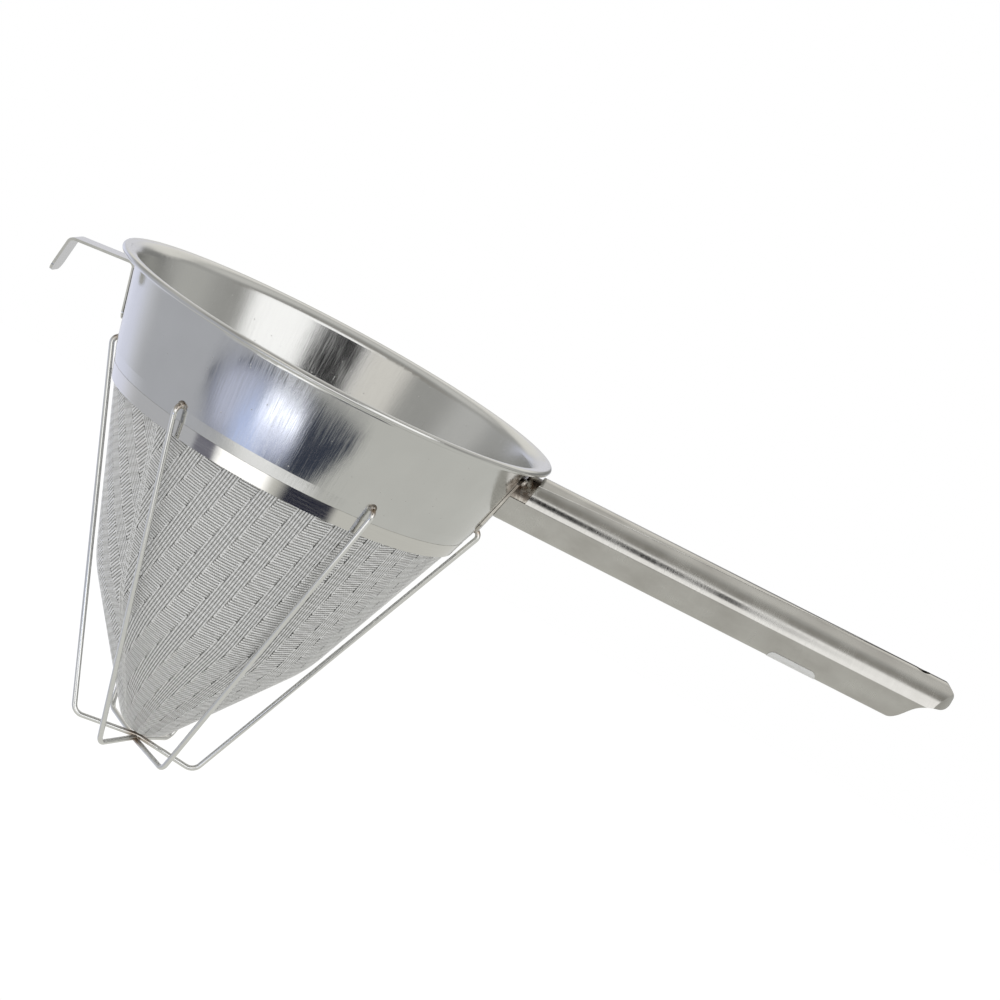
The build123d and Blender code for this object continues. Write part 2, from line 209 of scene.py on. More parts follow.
def reflectionBoard(name, board):
    material, tree = newMaterial(name)
    place = addNode(
        tree, "ShaderNodeSeparateXYZ", {}, {"Vector": addNode(tree, "ShaderNodeTexCoord").outputs["UV"]},
    )
    aside = addNode(
        tree, "ShaderNodeMath", {"operation": "SUBTRACT", 1: board["bowCentre"]}, {0: place.outputs["X"]},
    )
    square = addNode(
        tree, "ShaderNodeMath", {"operation": "MULTIPLY"}, {0: aside.outputs[0], 1: aside.outputs[0]},
    )
    row = addNode(
        tree, "ShaderNodeMath", {"operation": "MULTIPLY_ADD", 1: board["bow"]},
        {0: square.outputs[0], 2: place.outputs["Y"]},
    )
    colour, cover = None, None
    for hexText, brightness, middle, half, softness, flare in board["patches"]:
        masks = []
        up = addNode(
            tree, "ShaderNodeMath", {"operation": "SUBTRACT", 1: middle[1]}, {0: row.outputs[0]},
        ).outputs[0]
        across = addNode(
            tree, "ShaderNodeMath", {"operation": "SUBTRACT", 1: middle[0]}, {0: place.outputs["X"]},
        ).outputs[0]
        wider = addNode(
            tree, "ShaderNodeMath", {"operation": "MULTIPLY_ADD", 1: flare, 2: half[0]}, {0: up},
        ).outputs[0]
        for offset, reach, soft in ((across, wider, softness[0]), (up, None, softness[1])):
            spread = addNode(tree, "ShaderNodeMath", {"operation": "ABSOLUTE"}, {0: offset})
            inside = addNode(
                tree, "ShaderNodeMath", {"operation": "SUBTRACT", 0: half[1]}, {1: spread.outputs[0]},
            )
            if reach is not None:
                tree.links.new(reach, inside.inputs[0])
            masks.append(addNode(tree, "ShaderNodeMapRange", {
                "interpolation_type": "SMOOTHSTEP", "From Min": -soft / 2, "From Max": soft / 2,
            }, {"Value": inside.outputs[0]}).outputs[0])
        mask = addNode(tree, "ShaderNodeMath", {"operation": "MULTIPLY"}, {0: masks[0], 1: masks[1]}).outputs[0]
        patch = tuple(c * brightness for c in linearColour(hexText)[:3]) + (1.0,)
        if colour is None:
            colour = addNode(tree, "ShaderNodeMix", {"data_type": "RGBA", 6: patch, 7: patch}).outputs[2]
            cover = mask
        else:
            # A new patch takes over fully where nothing lies under it
            under = addNode(tree, "ShaderNodeMath", {"operation": "MAXIMUM"}, {0: cover, 1: mask}).outputs[0]
            share = addNode(tree, "ShaderNodeMath", {"operation": "DIVIDE"}, {0: mask, 1: under}).outputs[0]
            colour = addNode(
                tree, "ShaderNodeMix", {"data_type": "RGBA", 7: patch}, {0: share, 6: colour},
            ).outputs[2]
            cover = under
    clear = addNode(tree, "ShaderNodeBsdfTransparent")
    glow = addNode(tree, "ShaderNodeEmission", {"Strength": 1.0}, {"Color": colour})
    mixed = addNode(tree, "ShaderNodeMixShader", {}, {0: cover, 1: clear.outputs[0], 2: glow.outputs[0]})
    addNode(tree, "ShaderNodeOutputMaterial", {}, {"Surface": mixed.outputs[0]})
    facing = Vector(board["facing"]).normalized()
    across = facing.cross(Vector((0, 0, 1))).normalized()
    above = across.cross(facing)
    uvs = [
        (board["right"], board["bottom"]), (board["left"], board["bottom"]), (board["left"], board["top"]),
        (board["right"], board["top"]),
    ]
    corners = [tuple(Vector(board["place"]) + across * u + above * v) for u, v in uvs]
    plane = stagePlane(name, corners, uvs, material)
    plane.visible_camera = plane.visible_diffuse = plane.visible_shadow = plane.visible_transmission = False


for name, board in boards.items():
    reflectionBoard(name, board)

# A pale paper floor under a wide soft lamp. It is white to the camera but for the shadow, and open from below.
floor = {"level": -0.34, "size": 3.0, "colour": "E9E9E7", "shadow": 0.35, "white": 1.25}


def paperFloor():
    material, tree = newMaterial("paperFloor")
    rays = addNode(tree, "ShaderNodeLightPath")
    paper = addNode(tree, "ShaderNodeBsdfDiffuse", {"Color": linearColour(floor["colour"]), "Roughness": 0.6})
    white = addNode(tree, "ShaderNodeEmission", {"Color": (1, 1, 1, 1), "Strength": floor["white"]})
    lifted = addNode(
        tree, "ShaderNodeMixShader", {0: 1 - floor["shadow"]}, {1: paper.outputs[0], 2: white.outputs[0]},
    )
    seen = addNode(
        tree, "ShaderNodeMath", {"operation": "MAXIMUM"},
        {0: rays.outputs["Is Camera Ray"], 1: rays.outputs["Is Transmission Ray"]},
    )
    shown = addNode(
        tree, "ShaderNodeMixShader", {}, {0: seen.outputs[0], 1: paper.outputs[0], 2: lifted.outputs[0]},
    )
    clear = addNode(tree, "ShaderNodeBsdfTransparent")
    under = addNode(tree, "ShaderNodeNewGeometry").outputs["Backfacing"]
    sided = addNode(tree, "ShaderNodeMixShader", {}, {0: under, 1: shown.outputs[0], 2: clear.outputs[0]})
    addNode(tree, "ShaderNodeOutputMaterial", {}, {"Surface": sided.outputs[0]})
    half = floor["size"] / 2
    corners = [
        (-half, -half, floor["level"]), (half, -half, floor["level"]), (half, half, floor["level"]),
        (-half, half, floor["level"]),
    ]
    plane = stagePlane("paperFloor", corners, [(0, 0), (1, 0), (1, 1), (0, 1)], material)
    plane.visible_glossy = False  # the metal mirrors the studio's own pale ground


lamp = {"place": (-0.5, -0.7, 1.5), "size": 1.4, "power": 7.0}


def softLamp():
    data = bpy.data.lights.new("softLamp", "AREA")
    data.shape = "SQUARE"
    data.size, data.energy = lamp["size"], lamp["power"]
    light = bpy.data.objects.new("softLamp", data)
    place = Vector(lamp["place"])
    light.matrix_world = Matrix.Translation(place) @ place.to_track_quat("Z", "Y").to_matrix().to_4x4()
    bpy.context.scene.collection.objects.link(light)
    light.visible_glossy = False


paperFloor()
softLamp()
print("studio lit,", len(studio["cards"]), "far cards and", len(boards), "near boards")


# A finish is two tones mixed by a pattern, a roughness and a relief. Its patterns come in that order.
# "over" lays more colours on the tones where their masks are, and "rougher" adds to the roughness.
def closeFinish(material, look, patterns, over=(), rougher=()):
    tree = material.node_tree
    tonePattern, roughPattern, reliefPattern = patterns
    dark, light = look["tones"]
    tone = addNode(tree, "ShaderNodeMix", {
        "data_type": "RGBA", 6: linearColour(dark), 7: linearColour(light),
    }, {0: tonePattern})
    for hexText, mask in over:
        tone = addNode(tree, "ShaderNodeMix", {
            "data_type": "RGBA", 7: linearColour(hexText),
        }, {0: mask, 6: tone.outputs[2]})
    strength, distance = look["relief"]
    bump = addNode(
        tree, "ShaderNodeBump", {"Strength": strength, "Distance": distance}, {"Height": reliefPattern},
    )
    links = {"Base Color": tone.outputs[2], "Normal": bump.outputs[0]}
    if roughPattern:
        low, high = look.get("roughFrom", (0.3, 0.7))  # a noise mostly lies between these
        first, last = look["rough"]
        rough = addNode(tree, "ShaderNodeMapRange", {
            "From Min": low, "From Max": high, "To Min": first, "To Max": last,
        }, {"Value": roughPattern})
        for extra in rougher:
            rough = addNode(tree, "ShaderNodeMath", {"operation": "ADD"}, {0: rough.outputs[0], 1: extra})
        links["Roughness"] = rough.outputs[0]
    shader = addNode(tree, "ShaderNodeBsdfPrincipled", look["shader"], links)
    addNode(tree, "ShaderNodeOutputMaterial", {}, {"Surface": shader.outputs[0]})
    return material


# Real lengths in metres that the patterns below are scaled from
grain = {
    # marks of a grit 240 belt, a little too coarse so that they show
    "brushLine": 0.00032, "brushLength": 0.020,
    "stain": 0.018, "speck": 0.0026,  # handling stains and pits
    "wirePitch": 0.00055,  # the cloth's single wires
    "sievePitch": 0.0009,  # the fine sieve's wires, three times too coarse so that they show
    "moire": 0.0034,  # slow bands where two cloths beat
}


# Place around and along the bowl for a shader: a unit vector out from the axis, the radius and the height
def bowlPlace(tree):
    place = addNode(tree, "ShaderNodeTexCoord").outputs["Object"]
    parts = addNode(tree, "ShaderNodeSeparateXYZ", {}, {"Vector": place})
    level = addNode(tree, "ShaderNodeVectorMath", {"operation": "MULTIPLY", 1: (1, 1, 0)}, {0: place})
    radius = addNode(tree, "ShaderNodeVectorMath", {"operation": "LENGTH"}, {0: level.outputs[0]})
    outward = addNode(tree, "ShaderNodeVectorMath", {"operation": "NORMALIZE"}, {0: level.outputs[0]})
    return place, outward.outputs[0], radius.outputs["Value"], parts.outputs["Z"]


# A pattern's place on the bowl, so many steps around it and so many to the metre along it
def bowlPattern(tree, outward, around, length, along):
    spread = addNode(tree, "ShaderNodeVectorMath", {"operation": "SCALE", "Scale": around}, {0: outward})
    step = addNode(tree, "ShaderNodeMath", {"operation": "MULTIPLY", 1: along}, {0: length})
    stretched = addNode(tree, "ShaderNodeCombineXYZ", {}, {"Z": step.outputs[0]})
    place = addNode(
        tree, "ShaderNodeVectorMath", {"operation": "ADD"}, {0: spread.outputs[0], 1: stretched.outputs[0]},
    )
    return place.outputs[0]


# Austenitic stainless, spun and belt-brushed from lip to foot: soft mirror, streaks down the wall, a few pits
spun = {
    "name": "stainlessSpunBrushed", "shader": {"Metallic": 1.0},
    "tones": ("CCCCCA", "D7D7D5"), "rough": (0.09, 0.15), "relief": (0.36, 0.00004),
    "streakRough": (-0.05, 0.08), "insideRough": 0.06,  # the inside is left duller
    "wallRadius": 0.095,  # where the brush marks have their true width
    "pitEdge": (0.10, 0.04), "pitShare": 0.28, "pitTone": "B4B2AE", "pitRough": 0.3, "pitDepth": 2.5,
    # the hook's foot lies on the wall, with a dark line of painted shade in the gap between them
    "hookFoot": (-0.08857, -0.0320), "wallAngle": 14.0,
    "gapShadeWidth": 0.00045, "gapShadeTop": -0.0100, "gapShadeTone": "26231F",
}


def makeSpunSteel():
    material, tree = newMaterial(spun["name"])
    place, outward, radius, height = bowlPlace(tree)
    slant = addNode(tree, "ShaderNodeMath", {"operation": "ADD"}, {0: height, 1: radius})
    around, along = spun["wallRadius"] / grain["brushLine"], 1 / grain["brushLength"]
    brushPlace = bowlPattern(tree, outward, around, slant.outputs[0], along)
    brush = addNode(
        tree, "ShaderNodeTexNoise", {"Scale": 1.0, "Detail": 3.0, "Roughness": 0.6}, {"Vector": brushPlace},
    )
    first, last = spun["streakRough"]
    streak = addNode(tree, "ShaderNodeMapRange", {
        "From Min": 0.35, "From Max": 0.75, "To Min": first, "To Max": last,
    }, {"Value": brush.outputs[0]})
    stains = addNode(
        tree, "ShaderNodeTexNoise", {"Scale": 1 / grain["stain"], "Detail": 3.0}, {"Vector": place},
    )

    specks = addNode(tree, "ShaderNodeTexVoronoi", {"Scale": 1 / grain["speck"]}, {"Vector": place})
    edge, core = spun["pitEdge"]
    speck = addNode(
        tree, "ShaderNodeMapRange", {"From Min": edge, "From Max": core},
        {"Value": specks.outputs["Distance"]},
    )
    draw = addNode(tree, "ShaderNodeSeparateColor", {}, {"Color": specks.outputs["Color"]})
    few = addNode(
        tree, "ShaderNodeMath", {"operation": "GREATER_THAN", 1: 1 - spun["pitShare"]},
        {0: draw.outputs[0]},
    )
    pit = addNode(tree, "ShaderNodeMath", {"operation": "MULTIPLY"}, {0: speck.outputs[0], 1: few.outputs[0]})
    pitRough = addNode(
        tree, "ShaderNodeMath", {"operation": "MULTIPLY", 1: spun["pitRough"]}, {0: pit.outputs[0]},
    )
    dented = addNode(tree, "ShaderNodeMath", {
        "operation": "MULTIPLY_ADD", 1: -spun["pitDepth"],
    }, {0: pit.outputs[0], 2: brush.outputs[0]})

    normal = addNode(tree, "ShaderNodeNewGeometry").outputs["Normal"]
    facing = addNode(tree, "ShaderNodeVectorMath", {"operation": "DOT_PRODUCT"}, {0: normal, 1: outward})
    inside = addNode(tree, "ShaderNodeMapRange", {
        "From Min": 0.05, "From Max": -0.3, "To Max": spun["insideRough"],
    }, {"Value": facing.outputs["Value"]})

    # A thin dark line along the hook's foot is painted shade, standing in for the shadow in the gap to the wall
    # How far a point stands out from the line of the hook's foot
    slope = math.tan(math.radians(spun["wallAngle"]))
    footX, footZ = spun["hookFoot"]
    parts = addNode(tree, "ShaderNodeSeparateXYZ", {}, {"Vector": place})
    climb = addNode(
        tree, "ShaderNodeMath", {"operation": "MULTIPLY_ADD", 1: slope, 2: -footZ * slope - footX},
        {0: height},
    )
    stand = addNode(tree, "ShaderNodeMath", {"operation": "ADD"}, {0: parts.outputs["X"], 1: climb.outputs[0]})
    half = spun["gapShadeWidth"] / 2
    thin = addNode(tree, "ShaderNodeMath", {"operation": "COMPARE", 1: -half, 2: half}, {0: stand.outputs[0]})
    below = addNode(tree, "ShaderNodeMath", {"operation": "LESS_THAN", 1: spun["gapShadeTop"]}, {0: height})
    gapShade = addNode(
        tree, "ShaderNodeMath", {"operation": "MULTIPLY"}, {0: thin.outputs[0], 1: below.outputs[0]},
    )
    return closeFinish(
        material, spun, (stains.outputs[0], stains.outputs[0], dented.outputs[0]),
        over=[(spun["pitTone"], pit.outputs[0]), (spun["gapShadeTone"], gapShade.outputs[0])],
        rougher=[streak.outputs[0], inside.outputs[0], pitRough.outputs[0]],
    )


# The same steel turned and buffed on a wheel: a clear mirror with hair lines around it
buffed = {
    "name": "stainlessBuffed", "shader": {"Metallic": 1.0},
    "tones": ("D5D3CF", "DDDCD8"), "rough": (0.06, 0.11), "relief": (0.05, 0.00002), "around": 6.0,
}


def makeBuffedSteel():
    material, tree = newMaterial(buffed["name"])
    _, outward, _, height = bowlPlace(tree)
    linePlace = bowlPattern(tree, outward, buffed["around"], height, 1 / grain["brushLine"])
    lines = addNode(tree, "ShaderNodeTexNoise", {"Scale": 1.0, "Detail": 2.0}, {"Vector": linePlace}).outputs[0]
    return closeFinish(material, buffed, (lines, lines, lines))


# Stainless sheet, cross-brushed before it was folded: fine marks across, a warm grey, faint handling stains.
# Its folded edges meet in a seam that opens towards the nose, shown as a dark line of painted shade, drawn a
# little wide so that it shows.
crossBrushed = {
    "name": "stainlessCrossBrushed", "shader": {"Metallic": 1.0},
    "tones": ("A8A5A0", "DDDCD8"), "rough": (0.13, 0.24), "relief": (0.20, 0.00004),
    "stainRough": (-0.05, 0.09), "stainStretch": 1.6,
    "marksAcross": 60.0,  # to the metre: a brush mark is 17 mm long
    "crown": (0.09525, 0.0, -0.0048), "tilt": 2.03,  # where the handle starts and the way it points
    "seamShadeFade": (0.030, 0.110), "seamShadeOffset": -0.0010, "seamShadeWidth": 0.0018, "seamShadeTone": "1E1C1A",
    "roofDepth": 0.010,
}


def makeHandleSteel():
    material, tree = newMaterial(crossBrushed["name"])
    place = addNode(tree, "ShaderNodeTexCoord").outputs["Object"]
    local = addNode(tree, "ShaderNodeMapping", {
        "vector_type": "TEXTURE", "Location": crossBrushed["crown"],
        "Rotation": (0, -math.radians(crossBrushed["tilt"]), 0),
    }, {"Vector": place}).outputs[0]
    lined = (1 / grain["brushLine"], crossBrushed["marksAcross"], crossBrushed["marksAcross"])
    across = addNode(tree, "ShaderNodeVectorMath", {"operation": "MULTIPLY", 1: lined}, {0: local})
    brush = addNode(tree, "ShaderNodeTexNoise", {
        "Scale": 1.0, "Detail": 3.0, "Roughness": 0.6,
    }, {"Vector": across.outputs[0]}).outputs[0]
    shorter = crossBrushed["stainStretch"] / grain["stain"]
    cloudy = (1 / grain["stain"], shorter, shorter)
    clouds = addNode(tree, "ShaderNodeVectorMath", {"operation": "MULTIPLY", 1: cloudy}, {0: local})
    stains = addNode(
        tree, "ShaderNodeTexNoise", {"Scale": 1.0, "Detail": 4.0}, {"Vector": clouds.outputs[0]},
    ).outputs[0]
    first, last = crossBrushed["stainRough"]
    shift = addNode(tree, "ShaderNodeMapRange", {
        "From Min": 0.3, "From Max": 0.7, "To Min": first, "To Max": last,
    }, {"Value": stains})

    parts = addNode(tree, "ShaderNodeSeparateXYZ", {}, {"Vector": local})
    # The seam's dark line is painted shade in the gap between the folded edges, growing towards the nose
    start, full = crossBrushed["seamShadeFade"]
    opens = addNode(tree, "ShaderNodeMapRange", {
        "From Min": start, "From Max": full, "To Min": 0.25, "To Max": 1.0,
    }, {"Value": parts.outputs["X"]})
    off = addNode(
        tree, "ShaderNodeMath", {"operation": "SUBTRACT", 1: crossBrushed["seamShadeOffset"]},
        {0: parts.outputs["Y"]},
    )
    aside = addNode(tree, "ShaderNodeMath", {"operation": "ABSOLUTE"}, {0: off.outputs[0]})
    close = addNode(
        tree, "ShaderNodeMath", {"operation": "LESS_THAN", 1: crossBrushed["seamShadeWidth"] / 2},
        {0: aside.outputs[0]},
    )
    roof = addNode(
        tree, "ShaderNodeMath", {"operation": "GREATER_THAN", 1: -crossBrushed["roofDepth"]},
        {0: parts.outputs["Z"]},
    )
    seam = addNode(
        tree, "ShaderNodeMath", {"operation": "MULTIPLY"}, {0: opens.outputs[0], 1: close.outputs[0]},
    )
    seam = addNode(tree, "ShaderNodeMath", {"operation": "MULTIPLY"}, {0: seam.outputs[0], 1: roof.outputs[0]})
    return closeFinish(
        material, crossBrushed, (stains, brush, brush),
        over=[(crossBrushed["seamShadeTone"], seam.outputs[0])], rougher=[shift.outputs[0]],
    )


# Drawn stainless wire: a smooth bright line, straw and brown at its crossing and its spot-welded ends
drawn = {
    "name": "stainlessDrawnWire", "shader": {"Metallic": 1.0},
    "tones": ("DDDDDB", "E9E9E7"), "rough": (0.08, 0.15), "relief": (0.04, 0.00005),
    "fine": 900.0, "patches": 160.0,  # to the metre: grain 1.1 mm wide, heat patches 6 mm wide
    "crossing": (0.0, 0.0, -0.1925), "heatReach": (0.010, 0.002), "ends": (-0.0425, -0.0400),
    "heatTone": "8C7358",
}


def makeWireSteel():
    material, tree = newMaterial(drawn["name"])
    place = addNode(tree, "ShaderNodeTexCoord").outputs["Object"]
    parts = addNode(tree, "ShaderNodeSeparateXYZ", {}, {"Vector": place})
    fine = addNode(
        tree, "ShaderNodeTexNoise", {"Scale": drawn["fine"], "Detail": 2.0}, {"Vector": place},
    ).outputs[0]
    cloud = addNode(tree, "ShaderNodeTexNoise", {"Scale": drawn["patches"], "Detail": 3.0}, {"Vector": place})
    away = addNode(tree, "ShaderNodeVectorMath", {"operation": "DISTANCE", 1: drawn["crossing"]}, {0: place})
    far, near = drawn["heatReach"]
    crossing = addNode(
        tree, "ShaderNodeMapRange", {"From Min": far, "From Max": near}, {"Value": away.outputs["Value"]},
    )
    low, high = drawn["ends"]
    ends = addNode(
        tree, "ShaderNodeMapRange", {"From Min": low, "From Max": high}, {"Value": parts.outputs["Z"]},
    )
    hot = addNode(
        tree, "ShaderNodeMath", {"operation": "MAXIMUM"}, {0: crossing.outputs[0], 1: ends.outputs[0]},
    )
    patchy = addNode(tree, "ShaderNodeMapRange", {
        "From Min": 0.35, "From Max": 0.6, "To Min": 0.25, "To Max": 0.9,
    }, {"Value": cloud.outputs[0]})
    heat = addNode(tree, "ShaderNodeMath", {"operation": "MULTIPLY"}, {0: hot.outputs[0], 1: patchy.outputs[0]})
    return closeFinish(material, drawn, (fine, fine, fine), over=[(drawn["heatTone"], heat.outputs[0])])


# Weld metal left as it froze: rippled, with brown and blue-black heat colours
weldBead = {
    "name": "weldBeadUnpolished", "shader": {"Metallic": 1.0},
    "tones": ("CFCBC4", "6A5848"), "rough": (0.20, 0.42), "relief": (0.5, 0.0002),
    "ripples": 700.0, "patches": 260.0,  # to the metre: ripples 1.4 mm wide, heat patches 4 mm wide
}


def makeWeldSteel():
    material, tree = newMaterial(weldBead["name"])
    place = addNode(tree, "ShaderNodeTexCoord").outputs["Object"]
    ripples = addNode(
        tree, "ShaderNodeTexNoise", {"Scale": weldBead["ripples"], "Detail": 4.0}, {"Vector": place},
    )
    cloud = addNode(
        tree, "ShaderNodeTexNoise", {"Scale": weldBead["patches"], "Detail": 3.0}, {"Vector": place},
    )
    spot = addNode(
        tree, "ShaderNodeMapRange", {"From Min": 0.38, "From Max": 0.62}, {"Value": cloud.outputs[0]},
    )
    return closeFinish(material, weldBead, (spot.outputs[0], cloud.outputs[0], ripples.outputs[0]))


# Pressed stainless under the handle: plain mill finish, burnt brown around the neck's weld
milled = {
    "name": "stainlessMillFinish", "shader": {"Metallic": 1.0},
    "tones": ("BFBBB3", "66574A"), "rough": (0.18, 0.34), "relief": (0.15, 0.00008),
    "patches": 220.0, "fine": 1500.0,  # to the metre: burnt patches 4.5 mm wide, mill grain 0.7 mm wide
    "weld": (0.0962, -0.0080, -0.0105), "burnReach": (0.013, 0.003),
}


def makeBracketSteel():
    material, tree = newMaterial(milled["name"])
    place = addNode(tree, "ShaderNodeTexCoord").outputs["Object"]
    cloud = addNode(tree, "ShaderNodeTexNoise", {"Scale": milled["patches"], "Detail": 2.0}, {"Vector": place})
    fine = addNode(tree, "ShaderNodeTexNoise", {"Scale": milled["fine"], "Detail": 2.0}, {"Vector": place})
    away = addNode(tree, "ShaderNodeVectorMath", {"operation": "DISTANCE", 1: milled["weld"]}, {0: place})
    far, near = milled["burnReach"]
    heated = addNode(
        tree, "ShaderNodeMapRange", {"From Min": far, "From Max": near}, {"Value": away.outputs["Value"]},
    )
    patchy = addNode(
        tree, "ShaderNodeMapRange", {"From Min": 0.32, "From Max": 0.56}, {"Value": cloud.outputs[0]},
    )
    burn = addNode(
        tree, "ShaderNodeMath", {"operation": "MULTIPLY"}, {0: heated.outputs[0], 1: patchy.outputs[0]},
    )
    return closeFinish(material, milled, (burn.outputs[0], cloud.outputs[0], fine.outputs[0]))


# Matt white polypropylene film, blank: soft, faintly wrinkled where it wraps the edge
film = {
    "name": "polypropyleneFilm", "shader": {"IOR": 1.49},
    "tones": ("E6E6E4", "F2F2F1"), "rough": (0.38, 0.5), "relief": (0.15, 0.0002),
    "wrinkles": 240.0,  # to the metre: 4 mm wide
}


def makeLabelFilm():
    material, tree = newMaterial(film["name"])
    place = addNode(tree, "ShaderNodeTexCoord").outputs["Object"]
    wrinkles = addNode(
        tree, "ShaderNodeTexNoise", {"Scale": film["wrinkles"], "Detail": 2.0}, {"Vector": place},
    ).outputs[0]
    return closeFinish(material, film, (wrinkles, wrinkles, wrinkles))


# Fine stainless wires woven together: each cord is a row of wire crowns with a painted highlight, with painted
# shade in the gaps beside it.
# The wires are round and scatter light in all directions, so the cloth is partly matt for a metal. The crowns
# stand 1 mm apart along a cord, twice as coarse as the real wires, so that they still show.
woven = {
    "name": "stainlessWovenWire", "shader": {"Metallic": 0.30},
    "tones": ("D8D8D6", "FFFFFF"), "rough": (0.42, 0.26), "roughFrom": (0.0, 1.0), "relief": (0.3, 0.0002),
    "uneven": 0.16, "beat": 0.30,
}


def makeClothSteel():
    material, tree = newMaterial(woven["name"])
    place = addNode(tree, "ShaderNodeAttribute", {"attribute_name": "flatCloth"}).outputs["Vector"]
    crown = addNode(tree, "ShaderNodeAttribute", {"attribute_name": "crown"}).outputs["Fac"]
    wires = addNode(
        tree, "ShaderNodeTexNoise", {"Scale": 1 / grain["wirePitch"], "Detail": 2.0}, {"Vector": place},
    )
    uneven = addNode(tree, "ShaderNodeMapRange", {
        "From Min": 0.3, "From Max": 0.7, "To Min": -woven["uneven"], "To Max": woven["uneven"],
    }, {"Value": wires.outputs[0]})
    # The fine sieve behind beats with this cloth; its slow light and dark bands are painted into the colour as
    # painted light and shade.
    # At a scale of 1 a wave's bands stand 0.314 apart.
    ripple = addNode(tree, "ShaderNodeTexWave", {
        "bands_direction": "Y", "Scale": 0.314 / grain["moire"],
        "Distortion": 5.0, "Detail": 1.0, "Detail Scale": 0.5,
    }, {"Vector": place})
    beat = addNode(tree, "ShaderNodeMapRange", {
        "To Min": -woven["beat"], "To Max": woven["beat"],
    }, {"Value": ripple.outputs["Fac"]})
    shade = addNode(tree, "ShaderNodeMath", {"operation": "ADD"}, {0: uneven.outputs[0], 1: beat.outputs[0]})
    # Through the tones the crowns get a painted highlight and the gaps painted shade
    stood = addNode(tree, "ShaderNodeMath", {
        "operation": "ADD", "use_clamp": True,
    }, {0: crown, 1: shade.outputs[0]}).outputs[0]
    return closeFinish(material, woven, (stood, stood, stood))


# The inner sieve of finer wire, too fine to see through: an even grey grain
sieve = {
    "name": "stainlessFineSieve", "shader": {"Metallic": 1.0, "Roughness": 0.42},
    "tones": ("A9A9A7", "E6E6E4"), "relief": (0.4, 0.0002),
}


def makeSieveSteel():
    material, tree = newMaterial(sieve["name"])
    place = addNode(tree, "ShaderNodeTexCoord").outputs["Object"]
    crowns = addNode(tree, "ShaderNodeTexVoronoi", {
        "Scale": 1 / grain["sievePitch"], "Randomness": 0.25,
    }, {"Vector": place})
    crown = addNode(
        tree, "ShaderNodeMapRange", {"From Min": 0.6, "From Max": 0.15},
        {"Value": crowns.outputs["Distance"]},
    )
    return closeFinish(material, sieve, (crown.outputs[0], None, crown.outputs[0]))


spunSteel, wireSteel, weldSteel = makeSpunSteel(), makeWireSteel(), makeWeldSteel()
bracketSteel, meshSteel = makeBracketSteel(), makeClothSteel()

nodeFinishes = {
    "collar": spunSteel, "hook": spunSteel, "clamp_ring": makeBuffedSteel(), "handle": makeHandleSteel(),
    "guard_bow_1": wireSteel, "guard_bow_2": wireSteel, "guard_bow_3": wireSteel,
    "bow_welds": weldSteel, "neck_welds": weldSteel, "saddle_plate": bracketSteel, "neck_bracket": bracketSteel,
    "blank_label": makeLabelFilm(), "fine_mesh": makeSieveSteel(), "support_mesh": meshSteel,
}
for name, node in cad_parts.items():
    node.data.materials.clear()
    node.data.materials.append(nodeFinishes[name])
print("finishes on", len(nodeFinishes), "nodes")

# The cloth is cut flat, rolled into two half cones with a seam between, and drawn in towards the tip.
# Its herringbone is bands of cords that run along it, beside bands of cords that run across.
cloth = {
    "topRadius": 0.08343, "topHeight": -0.04628,
    "upperAngle": 20.8, "lowerAngle": 35.5,  # half angles of the two cones
    "shoulderDrop": 0.128, "shoulderBend": 0.060, "tipBend": 0.0155,
    "thickness": 0.0005,
    "topMargin": 0.0008, "tipMargin": 0.0022,
    "halves": [(-42.0, "Front"), (138.0, "Back")],  # where each half's bands run straight down
    "halfLimits": (-84.0, 96.0),
    "band": 0.00825, "bandStart": 0.0032, "bandCount": 19,
    "alongPitch": 0.00130, "alongTilt": 6.0,
    "acrossPitch": 0.00130, "acrossTilt": 17.0,
    "step": 0.00048, "crimp": 0.00016, "fullness": 1.0,
    "seamPitch": 0.0011, "seamCords": 3,
}


# The cloth's middle surface from its top edge to its tip, walked with a heading from straight down
def clothProfile():
    inset = cloth["thickness"] / 2
    upper, lower = math.radians(cloth["upperAngle"]), math.radians(cloth["lowerAngle"])
    shoulderBend, tipBend = cloth["shoulderBend"] - inset, cloth["tipBend"] - inset
    cornerRadius = cloth["topRadius"] - (cloth["shoulderDrop"] + cloth["topHeight"]) * math.tan(upper)
    tangent = cloth["shoulderBend"] * math.tan((lower - upper) / 2)
    upperRun = (cloth["shoulderDrop"] + cloth["topHeight"]) / math.cos(upper) - tangent
    lowerRun = (cornerRadius - cloth["tipBend"] * math.cos(lower)) / math.sin(lower) - tangent
    radius, height = cloth["topRadius"] - inset * math.cos(upper), cloth["topHeight"] + inset * math.sin(upper)
    points = [(radius, height)]
    for run, bend, start, end in (
        (upperRun, 0, upper, upper), (0, shoulderBend, upper, lower),
        (lowerRun, 0, lower, lower), (0, tipBend, lower, math.pi / 2),
    ):
        steps = 12 if bend else 1
        length = bend * (end - start) if bend else run
        for step in range(steps):
            heading = start + (end - start) * (step + 0.5) / steps
            radius -= length / steps * math.sin(heading)
            height -= length / steps * math.cos(heading)
            points.append((radius, height))
    return points


profilePoints = clothProfile()
profileLength = sum(math.dist(a, b) for a, b in zip(profilePoints, profilePoints[1:]))
profileData = bpy.data.curves.new("clothProfile", "CURVE")
profileData.dimensions = "3D"
profileSpline = profileData.splines.new("POLY")
profileSpline.points.add(len(profilePoints) - 1)
for point, (radius, height) in zip(profileSpline.points, profilePoints):
    point.co = (radius, 0, height, 1)
profileObject = bpy.data.objects.new("clothProfile", profileData)
bpy.context.scene.collection.objects.link(profileObject)
clothTip = [round(v * 1000, 2) for v in profilePoints[-1]]
print("cloth profile", round(profileLength * 1000, 1), "mm long, ends at", clothTip)

# Flat distance from the rolled cone's apex to the top edge
clothReach = cloth["topRadius"] / math.sin(math.radians(cloth["upperAngle"]))


